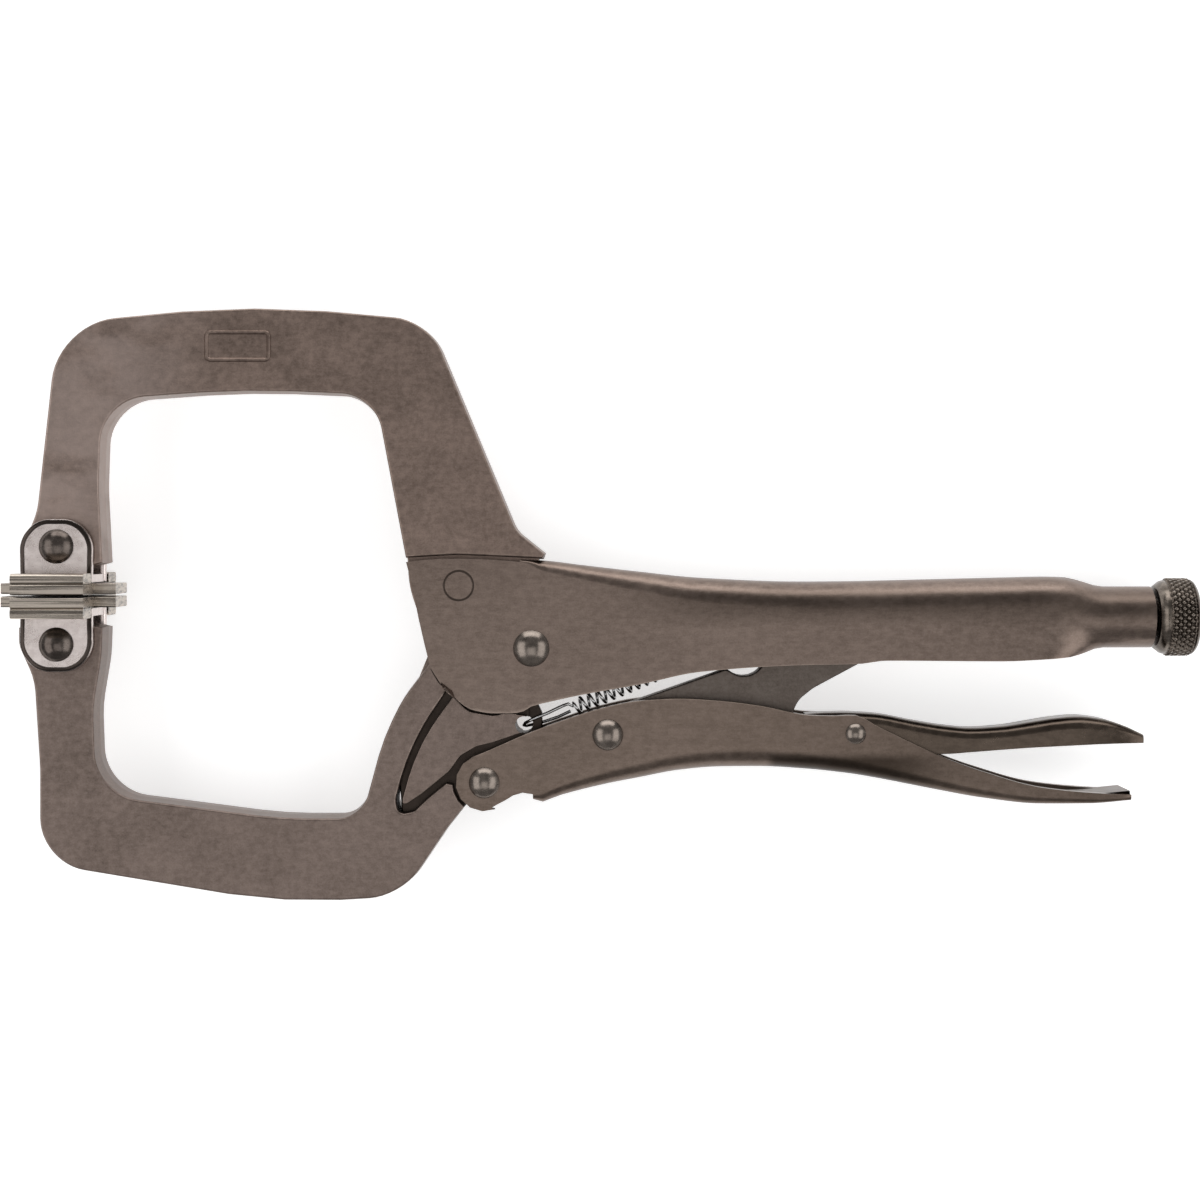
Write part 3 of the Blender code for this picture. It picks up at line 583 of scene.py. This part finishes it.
# Painted shade: a darker band along the middle of the cheek, for the shade on its real curve, and then the
# ring.
up = along_axis(place, 1)
shade = up.between(-6, -1) * (1 - up.between(1.8, 4.2)) * along_axis(place, 0).between(-5, 30)
color = (shade * 0.5).blend(color, (0.06, 0.045, 0.036))
repaint(handle_steel, (seam * 0.8 + 0.2).blend((0.02, 0.015, 0.012), color))
relief_of(height + seam * 2, shader, 0.3)
cheeks = press(handle_stations, -1, handle_front)
trim_front(cheeks, -17.5, HANDLE_CHEEK)
outwards(cheeks)
handle = set_in(cheeks, "riveted_handle", "handle", ["upper_handle"], handle_steel)
fold_sheet(handle, SHEET)

# ---- The squeeze lever ----
# A second pressing that opens upwards: cheeks over the moving jaw with a round front end and a
# heel, a deep belly, and a tail that thins to the bare web.

LEVER_CHEEK = 5.5

lever_stations = [
    (-33.0, 5.5, -47.3, -35.3, 0.4, 0),
    (-27.0, 5.5, -46.4, -33.6, 0.4, 0),
    (-22.5, 5.5, -45.2, -32.0, 0.4, 0),
    (-18.2, 5.5, -43.6, -30.3, 0.4, 0),
    (-16.2, 5.5, -44.4, -29.6, 0.6, 0),
    (-14.3, 5.5, -46.1, -28.9, 2.4, 0),
    (-9.3, 5.5, -44.5, -27.1, 3.0, 0),
    (0.9, 5.5, -42.0, -23.9, 3.8, 0),
    (9.3, 5.7, -40.4, -22.3, 4.4, 0),
    (18.5, 5.95, -38.7, -21.8, 4.8, 0),
    (28.0, 6.4, -37.9, -22.3, 5.0, 0),
    (37.0, 6.7, -37.8, -23.4, 5.0, 0),
    (49.0, 7.1, -38.4, -25.6, 4.8, 0),
    (54.0, 7.15, -38.9, -25.7, 4.6, 0),
    (58.3, 7.15, -39.4, -25.5, 4.4, 0),
    (65.0, 7.15, -40.5, -28.6, 4.0, 0),
    (78.7, 7.15, -43.1, -35.0, 3.2, 0),
    (88.6, 7.15, -44.8, -38.6, 2.6, 0),
    (101.8, 7.15, -46.1, -42.2, 2.0, 0),
    (113.0, 7.15, -46.0, -43.4, 1.4, 0),
    (122.7, 6.6, -45.2, -43.9, 0.7, 0),
]


def lever_front(x, y, up):
    """The cheek's front end is a half round about its pivot."""
    cheek_end, cheek_length, end_radius = -14.3, 18.7, 6.6
    if x > cheek_end:
        return x, y
    share = ((cheek_end - x) / cheek_length) ** 1.5
    angle = radians(112 + 180 * up)
    ring = (LEVER_PIVOT[0] + end_radius * cos(angle), LEVER_PIVOT[1] + end_radius * sin(angle))
    flat = x + 3.5 * share
    return flat + (ring[0] - flat) * share, y + (ring[1] - y) * share


lever_steel, _, place, color, _ = steel_finish(
    "lever_steel", (0.1, 0.075, 0.06), (0.215, 0.165, 0.137), BRIGHT_EDGE,
    roughness=0.34, patch=24, relief=0.22, drawn=(0.7, 1, 1),
)
# It darkens towards the tail, and a painted dark reflection lies along its belly.
far = along_axis(place, 0)
low_down = 1 - along_axis(place, 1).between(-36.2, -33.6)
belly = far.between(38, 41) * (1 - far.between(64, 86)) * low_down
color = (far.between(10, 90) * 0.25).blend(color, (0.06, 0.045, 0.034))
repaint(lever_steel, (belly * 0.8).blend(color, (0.02, 0.014, 0.01)))
cheeks = press(lever_stations, 1, lever_front)
trim_front(cheeks, -14.6, LEVER_CHEEK)
outwards(cheeks)
lever = set_in(cheeks, "squeeze_lever", "lever", ["lever"], lever_steel)
fold_sheet(lever, SHEET)

# ---- The release lever ----
# A small channel pressed from thinner sheet, pinned inside the lever, whose curved back is
# pressed to let the jaws go.

release_stations = [
    (47.8, 4.5, -25.6, -30.4, 2.0, 0),
    (51.0, 4.5, -25.3, -32.2, 2.2, 0),
    (56.0, 4.5, -25.2, -33.6, 2.3, 0),
    (63.5, 4.5, -25.5, -34.4, 2.4, 0),
    (73.7, 4.5, -27.3, -34.8, 2.5, 0),
    (80.0, 4.5, -28.3, -34.75, 2.5, 0),
    (86.2, 4.6, -28.85, -34.3, 2.5, 0),
    (93.6, 4.9, -28.4, -33.7, 2.6, 0),
    (100.0, 5.3, -27.4, -33.2, 2.7, 0),
    (106.1, 5.6, -26.45, -32.85, 2.8, 0),
    (111.2, 6.0, -26.05, -32.55, 2.8, 0),
    (116.3, 6.0, -26.6, -32.3, 2.6, 0),
    (121.4, 5.8, -28.1, -32.15, 2.0, 0),
    (125.9, 5.2, -30.2, -32.1, 0.9, 0),
]
release_steel = steel_finish(
    "release_lever_steel", (0.05, 0.038, 0.03), (0.12, 0.093, 0.074), (0.36, 0.3, 0.25),
    roughness=0.24, patch=18, relief=0.2, drawn=(0.7, 1, 1),
)[0]
cheeks = press(release_stations, -1, step=1.8)
outwards(cheeks)
release = set_in(
    cheeks, "release_lever_sheet", "release_lever", ["release_lever"],
    release_steel,
)
fold_sheet(release, 1.6, 0.25)

# ---- The toggle link ----
# A flat strut blanked from plate, with a half-round relief in its upper edge. It stands between
# the lever and the tip of the screw.

TOGGLE_PIVOT = (1.8, -30.2)
link_steel = steel_finish(
    "toggle_link_steel", (0.085, 0.068, 0.058), (0.175, 0.148, 0.13), (0.24, 0.2, 0.18),
    roughness=0.45,
)[0]
strut = [
    *round_about(TOGGLE_PIVOT, 5.2, 130, 275, 8), (36.0, -34.4, 5), (44.6, -28.5, 4),
    (45.3, -23.0, 6), (49.6, -19.6, 8), (64.9, -11.4, 2.5), (64.6, -3.6, 3.4), (56.0, -4.4, 6),
    *round_about((33.4, -11.6), 5.2, 350, 222, 8), (6.0, -23.3, 8),
]
strut = forge(blank(strut), 2.9, 0, 0.35)
strut = drill(strut, [(*TOGGLE_PIVOT, 2.9)], 5)
set_in(strut, "toggle_strut", "toggle_link", ["toggle_link"], link_steel)

# ---- The return spring ----
# Bright drawn wire: a close coil held inside the handle, with a doubled hook through the
# moving jaw's hole. It stretches between the handle and the moving jaw.

WIRE = 0.38  # radius of the wire
COIL = 1.65  # radius of the coil, at the wire's middle
TURNS = 15
PER_TURN = 20
ANCHOR = Vector((23.4, -12.0))
COIL_START = Vector((-5.8, -24.2))

spring_wire = steel_finish(
    "spring_wire", (0.3, 0.3, 0.3), (0.62, 0.62, 0.62), (0.8, 0.8, 0.8),
    roughness=0.22, patch=2, relief=0.05,
)[0]
lie = (ANCHOR - COIL_START).normalized()
across = Vector((-lie.y, lie.x))
hook = [
    (-6.9, -25.2, -1.2), (-9.8, -26.6, -1.7), (-13.0, -27.7, -2.1), (-16.2, -28.5, -2.0),
    (-17.3, -28.6, -1.0), (-17.8, -28.4, 0.0), (-17.4, -27.8, 1.0), (-16.2, -27.1, 2.0),
    (-12.0, -25.3, 2.1), (-8.6, -23.7, 1.9), (-7.4, -23.3, 1.7), (-6.4, -23.9, 1.2),
]
path = [Vector(p) for p in hook]
for i in range(TURNS * PER_TURN + 1):
    angle = 2 * pi * i / PER_TURN + pi * 0.25
    middle = COIL_START + (ANCHOR - COIL_START) * i / (TURNS * PER_TURN)
    sway = across * COIL * cos(angle)
    path.append(Vector((middle.x + sway.x, middle.y + sway.y, COIL * sin(angle))))
wire = bpy.data.curves.new("spring wire", "CURVE")
wire.dimensions = "3D"
wire.bevel_depth = WIRE
wire.bevel_resolution = 3
wire.use_fill_caps = True
run = wire.splines.new("POLY")
run.points.add(len(path) - 1)
for point, place in zip(run.points, path):
    point.co = (*place, 1)
drawn = bpy.data.objects.new("spring wire", wire)
bpy.context.scene.collection.objects.link(drawn)
bpy.context.view_layer.update()
coil = bmesh.new()
seen = drawn.evaluated_get(bpy.context.evaluated_depsgraph_get())
coil.from_mesh(bpy.data.meshes.new_from_object(seen))
coil.verts.layers.float.new("worn")
bpy.data.objects.remove(drawn)
spring = set_in(
    coil, "coiled_return_spring", None, ["return_spring"], spring_wire, 80
)
spring.modifiers.clear()
start = (ANCHOR.x * MM, ANCHOR.y * MM, MID)
end = (-13.0 * MM, -26.8 * MM, MID)
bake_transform(spring, "handle", "moving_jaw", start=start, end=end)

# ---- The adjusting screw ----
# A coarse thread rolled on a steel rod. It is inside the tube, and shows when it is wound out.

SCREW_Y = -3.1
PITCH = 1.5875
STEPS = 32  # round each turn
THREAD_TURNS = 38
THREAD_START = 70.6
ROOT = 4.0
TOP = 4.62
SHANK_ENDS = (72.2, 129.4)

screw_steel = steel_finish(
    "screw_thread_steel", (0.10, 0.085, 0.075), (0.3, 0.27, 0.245), (0.55, 0.5, 0.46),
    roughness=0.3, patch=4,
)[0]
thread = bmesh.new()
wear = thread.verts.layers.float.new("worn")
ridge = [(0, ROOT, 0), (0.22, ROOT, 0), (0.68, TOP, 0.6), (0.92, TOP, 0.6), (PITCH, ROOT, 0)]
points = []
for x, radius, amount in ridge:
    points.append(thread.verts.new((THREAD_START + x, 0, radius)))
    points[-1][wear] = amount
edges = [thread.edges.new(pair) for pair in zip(points, points[1:])]
bmesh.ops.spin(
    thread, geom=points + edges, cent=(0, 0, 0), axis=(1, 0, 0), dvec=(PITCH / STEPS, 0, 0),
    angle=2 * pi * THREAD_TURNS, steps=STEPS * THREAD_TURNS, use_duplicate=False,
)
bmesh.ops.remove_doubles(thread, verts=thread.verts, dist=1e-3)
for x, side in zip(SHANK_ENDS, (-1, 1)):
    whole = thread.verts[:] + thread.edges[:] + thread.faces[:]
    bmesh.ops.bisect_plane(
        thread, geom=whole, plane_co=(x, 0, 0), plane_no=(side, 0, 0), clear_outer=True
    )
bmesh.ops.holes_fill(thread, edges=[e for e in thread.edges if e.is_boundary], sides=0)
bmesh.ops.recalc_face_normals(thread, faces=thread.faces)
bmesh.ops.translate(thread, verts=thread.verts, vec=(0, SCREW_Y, 0))
set_in(
    thread, "threaded_shank", "adjusting_screw", ["adjusting_screw"],
    screw_steel, 50,
)

# ---- The adjusting knob ----
# The screw's head, turned from bar and rolled with a diamond knurl between two plain chamfers.

KNOB_RADIUS = 9.1
ROUND = 342  # steps round the knob
DIAMONDS = 38  # round the knob
SLANT = 0.8
KNURL_START, KNURL_END = 131.7, 137.6
KNURL_ROWS = 40
KNURL_DEPTH = 0.55
RUN_OUT = 0.5  # the knurl fades over this length at each end

knob_steel = steel_finish(
    "knob_steel", (0.05, 0.04, 0.033), (0.16, 0.132, 0.11), (0.6, 0.53, 0.46),
    roughness=0.26, patch=4, relief=0.1,
)[0]
inner_end = [
    (129.4, 4.4, 0), (129.4, 6.9, 0), (129.55, 7.4, 0), (130.7, 8.35, 0), (131.2, 8.55, 0),
    (131.5, 8.6, 0),
]
knurled = [
    (KNURL_START + (KNURL_END - KNURL_START) * i / KNURL_ROWS, KNOB_RADIUS, 1)
    for i in range(KNURL_ROWS + 1)
]
outer_end = [
    (137.8, 8.75, 0), (138.3, 8.4, 0), (138.6, 7.9, 0), (138.6, 7.0, 0), (138.1, 6.6, 0),
    (138.1, 0.4, 0),
]
turned = inner_end + knurled + outer_end
knob = bmesh.new()
wear = knob.verts.layers.float.new("worn")
bmesh.ops.create_grid(knob, x_segments=len(turned) - 1, y_segments=ROUND, size=1)
for point in knob.verts:
    x, radius, is_knurled = turned[round((point.co.x + 1) / 2 * (len(turned) - 1))]
    share = (point.co.y + 1) / 2
    if is_knurled:
        swing = (x - KNURL_START) / (2 * pi * KNOB_RADIUS / DIAMONDS) * SLANT
        rises = [abs(((share * DIAMONDS + lean * swing) % 1) * 2 - 1) for lean in (1, -1)]
        peak = min(1 - rise for rise in rises) * 2
        edge = min((x - KNURL_START) / RUN_OUT, (KNURL_END - x) / RUN_OUT, 1)
        height = min(peak, 1) * edge
        radius -= KNURL_DEPTH * (1 - height)
        point[wear] = max(0, height - 0.35)
    else:
        point[wear] = 0.6 if 7 < radius < 8.7 else 0.1
    angle = 2 * pi * share
    point.co = (x, SCREW_Y + radius * cos(angle), radius * sin(angle))
bmesh.ops.remove_doubles(knob, verts=knob.verts, dist=1e-4)
bmesh.ops.holes_fill(knob, edges=[e for e in knob.edges if e.is_boundary], sides=0)
bmesh.ops.recalc_face_normals(knob, faces=knob.faces)
set_in(knob, "knurled_knob", "adjusting_knob", ["adjusting_knob"], knob_steel, 40)

# ---- The swivel pads ----
# Each is a stamped face plate with its two ends folded back into hems. A polished saddle with
# two round-topped ears stands on it and swivels on a pin through the jaw's tip.

PAD_LINE = 2.1  # the two plates face each other across this line
EAR_IN = 5.85  # from the middle plane to an ear's inner face
EAR = 1.8  # an ear's thickness
PLATE = 2.5
PLATE_HALF = 8.3
PAD_HALF = 16.5
HEM = 7.9  # how far a hem reaches back in
LAP = 0.15  # a hem overlaps its plate by this much

# Worn marks the ears' rounded rims here, which get a painted dark reflection, as their faces are the bright
# part.
ear_steel = steel_finish(
    "ear_steel", (0.6, 0.52, 0.49), (0.86, 0.78, 0.75), (0.05, 0.04, 0.035),
    roughness=0.3, patch=5, relief=0.1,
)[0]
pad_steel = steel_finish(
    "pad_steel", (0.05, 0.042, 0.036), (0.5, 0.44, 0.38), (0.6, 0.54, 0.46),
    roughness=0.28, patch=3, relief=0.2, drawn=(0.06, 4, 1), bands=0.9,
)[0]


def saddle(name, pin, side, body, nodes):
    """The ears and the bridge under the jaw's tip."""
    low = PAD_LINE + side * 2.95
    crown = pin[1] + side * 6.4
    outline = [
        (pin[0] - 8.4, low, 0), (pin[0] - 8.6, pin[1] + side * 1.6, 6), (pin[0] - 4.6, crown, 6),
        (pin[0] + 4.6, crown, 6), (pin[0] + 8.4, pin[1] + side * 1.6, 6), (pin[0] + 8.2, low, 0),
    ]
    ears = []
    for face in (1, -1):
        ear = forge(blank(outline), EAR / 2, 0, 0.6, 0.1, 2.2, 2)
        bmesh.ops.translate(ear, verts=ear.verts, vec=(0, 0, face * (EAR_IN + EAR / 2)))
        ears.append(ear)
    bridge = bmesh.new()
    bridge.verts.layers.float.new("worn")
    bmesh.ops.create_cube(bridge, size=1)
    bridge_size = (16.0, 1.8, 2 * EAR_IN + 1.0)  # its ends run half a millimetre into the ears
    bmesh.ops.scale(bridge, verts=bridge.verts, vec=bridge_size)
    bmesh.ops.translate(bridge, verts=bridge.verts, vec=(pin[0] - 0.1, low + side * 0.95, 0))
    saddle_mesh = join(*ears, bridge)
    saddle_mesh = drill(saddle_mesh, [(*pin, 2.7)], 10)
    return set_in(saddle_mesh, name, body, nodes, ear_steel)


def face_plate(name, pin, side, body, nodes):
    """The clamping plate: a strip along X, crossed by a plate with hemmed ends."""
    face = PAD_LINE + side * 0.28
    back = face + side * PLATE
    hem_face = back - side * LAP
    hem_back = hem_face + side * PLATE
    hem_in = PAD_HALF - HEM
    blocks = [
        (13.3, face, back, -5.8, 5.8, 0.45),
        (PLATE_HALF, face, back, -PAD_HALF, PAD_HALF, 0.55),
        (PLATE_HALF, hem_face, hem_back, hem_in, PAD_HALF, 0.95),
        (PLATE_HALF, hem_face, hem_back, -PAD_HALF, -hem_in, 0.95),
    ]
    made = []
    for reach, y0, y1, z0, z1, rim in blocks:
        block = bmesh.new()
        wear = block.verts.layers.float.new("worn")
        bmesh.ops.create_cube(block, size=1)
        bmesh.ops.scale(block, verts=block.verts, vec=(2 * reach, abs(y1 - y0), z1 - z0))
        middle = (pin[0], (y0 + y1) / 2, (z0 + z1) / 2)
        bmesh.ops.translate(block, verts=block.verts, vec=middle)
        along_x = [e for e in block.edges if abs((e.verts[0].co - e.verts[1].co).x) > 1]
        bmesh.ops.bevel(
            block, geom=along_x, offset=rim, segments=4, profile=0.5, affect="EDGES", material=-1
        )
        for point in block.verts:
            point[wear] = 0.4
        made.append(block)
    return set_in(join(*made), name, body, nodes, pad_steel)


saddle("upper_saddle", UPPER_PIN, 1, "upper_pad", ["upper_pad_clevis"])
saddle("lower_saddle", LOWER_PIN, -1, "lower_pad", ["lower_pad_clevis"])
face_plate("upper_face_plate", UPPER_PIN, 1, "upper_pad", ["upper_pad"])
face_plate("lower_face_plate", LOWER_PIN, -1, "lower_pad", ["lower_pad"])

# ---- The rivets ----
# Headed steel pins with polished domes standing just off the sheet, and one that is ground
# flush through the handle and the fixed jaw.

rivet_steel = steel_finish(
    "rivet_steel", (0.13, 0.108, 0.094), (0.27, 0.23, 0.2), (0.6, 0.55, 0.5),
    roughness=0.25, patch=5, relief=0.06,
)[0]


def rivet(name, pin, shank, head, crown, seat, body, nodes, material=rivet_steel):
    """Turn half a rivet from its profile, then mirror it.

    The dome has radius head, stands crown high and begins seat off the middle plane.
    """
    rings = 12
    shape = bmesh.new()
    shape.verts.layers.float.new("worn")
    ball = (head**2 + crown**2) / (2 * crown)
    wide = asin(min(head / ball, 1))
    angles = [wide * i / rings for i in range(rings + 1)]
    profile = [(ball * sin(a), seat + crown - ball * (1 - cos(a))) for a in angles]
    under = seat - 0.05
    profile += [(head - 0.05, seat - 0.02), (head - 0.5, under), (shank, under), (shank, 0)]
    points = [shape.verts.new((radius, 0, z)) for radius, z in profile]
    edges = [shape.edges.new(pair) for pair in zip(points, points[1:])]
    bmesh.ops.spin(
        shape, geom=points + edges, cent=(0, 0, 0), axis=(0, 0, 1), angle=2 * pi, steps=48,
        use_merge=True, use_duplicate=False,
    )
    geometry = shape.verts[:] + shape.edges[:] + shape.faces[:]
    bmesh.ops.mirror(shape, geom=geometry, matrix=Matrix.Identity(4), merge_dist=1e-4, axis="Z")
    bmesh.ops.remove_doubles(shape, verts=shape.verts, dist=1e-3)
    bmesh.ops.recalc_face_normals(shape, faces=shape.faces)
    bmesh.ops.translate(shape, verts=shape.verts, vec=(*pin, 0))
    return set_in(shape, name, body, nodes, material, 50)


pin_steel = steel_finish(
    "pad_pin_steel", (0.06, 0.048, 0.042), (0.16, 0.135, 0.12), (0.4, 0.35, 0.3),
    roughness=0.24, patch=5, relief=0.06,
)[0]
RELEASE_PIVOT = (59.0, -29.8)
rivet("jaw_pivot_head", JAW_PIVOT, 2.9, 4.2, 1.9, 5.9, "handle", ["jaw_pivot_rivet"])
rivet("lever_front_head", LEVER_PIVOT, 2.6, 3.55, 1.7, 5.8, "moving_jaw", ["lever_front_rivet"])
rivet("toggle_head", TOGGLE_PIVOT, 2.6, 3.55, 1.7, 5.9, "lever", ["toggle_rivet"])
rivet("release_head", RELEASE_PIVOT, 1.6, 2.35, 1.1, 7.45, "lever", ["release_rivet"])
pad_pin = (2.4, 3.95, 1.9, 7.95)
rivet("upper_pad_head", UPPER_PIN, *pad_pin, "handle", ["upper_pad_rivet"], pin_steel)
rivet("lower_pad_head", LOWER_PIN, *pad_pin, "moving_jaw", ["lower_pad_rivet"], pin_steel)

flush = bmesh.new()
flush.verts.layers.float.new("worn")
flush_radius = 3.15
proud = 0.03
bmesh.ops.create_cone(
    flush, cap_ends=True, segments=56, radius1=flush_radius, radius2=flush_radius,
    depth=2 * (JAW_HALF + proud),
)
bmesh.ops.translate(flush, verts=flush.verts, vec=(*FLUSH_RIVET, 0))
set_in(flush, "flush_head", "handle", ["fixed_jaw_rivet"], handle_steel)

# ---- The studio ----
# A white table lit a little from within, a soft light overhead, broad soft lights at both sides,
# and a camera straight above the tool.

table = bmesh.new()
bmesh.ops.create_grid(table, x_segments=1, y_segments=1, size=4)
data = bpy.data.meshes.new("table")
table.to_mesh(data)
table.free()
floor = bpy.data.objects.new("table", data)
bpy.context.scene.collection.objects.link(floor)
paper = bpy.data.materials.new("white_paper")
paper.use_nodes = True
white = paper.node_tree.nodes["Principled BSDF"]
white.inputs["Base Color"].default_value = (0.9, 0.9, 0.9, 1)
white.inputs["Roughness"].default_value = 0.9
white.inputs["Emission Color"].default_value = (1, 1, 1, 1)
white.inputs["Emission Strength"].default_value = 0.5
data.materials.append(paper)


def soft_light(name, size, power, spot):
    """A flat rectangular light that faces the tool."""
    lamp = bpy.data.lights.new(name, "AREA")
    lamp.shape = "RECTANGLE"
    lamp.size, lamp.size_y = size
    lamp.energy = power
    thing = bpy.data.objects.new(name, lamp)
    thing.location = spot
    thing.rotation_euler = (-Vector(spot)).to_track_quat("-Z", "Y").to_euler()
    bpy.context.scene.collection.objects.link(thing)


soft_light("overhead", (0.9, 0.9), 2.3, (0, -0.36, 1.3))
soft_light("left", (1.5, 0.8), 5.7, (-0.95, -0.1, 0.8))
soft_light("right", (1.5, 0.8), 5.7, (0.95, -0.1, 0.8))
soft_light("back", (1.6, 0.6), 8, (0, 1.2, 0.35))

world = bpy.data.worlds.new("studio")
world.use_nodes = True
sky = world.node_tree.nodes["Background"]
sky.inputs["Color"].default_value = (1, 1, 1, 1)
sky.inputs["Strength"].default_value = 0.3
bpy.context.scene.world = world
bpy.context.scene.view_settings.view_transform = "Standard"

camera = bpy.data.cameras.new("camera")
camera.sensor_width = 36
camera.lens = 63.85
camera.shift_y = -0.05
camera.clip_start = 0.01
view = bpy.data.objects.new("camera", camera)
view.location = (0, 0.0149, MID + 0.498)
bpy.context.scene.collection.objects.link(view)
bpy.context.scene.camera = view
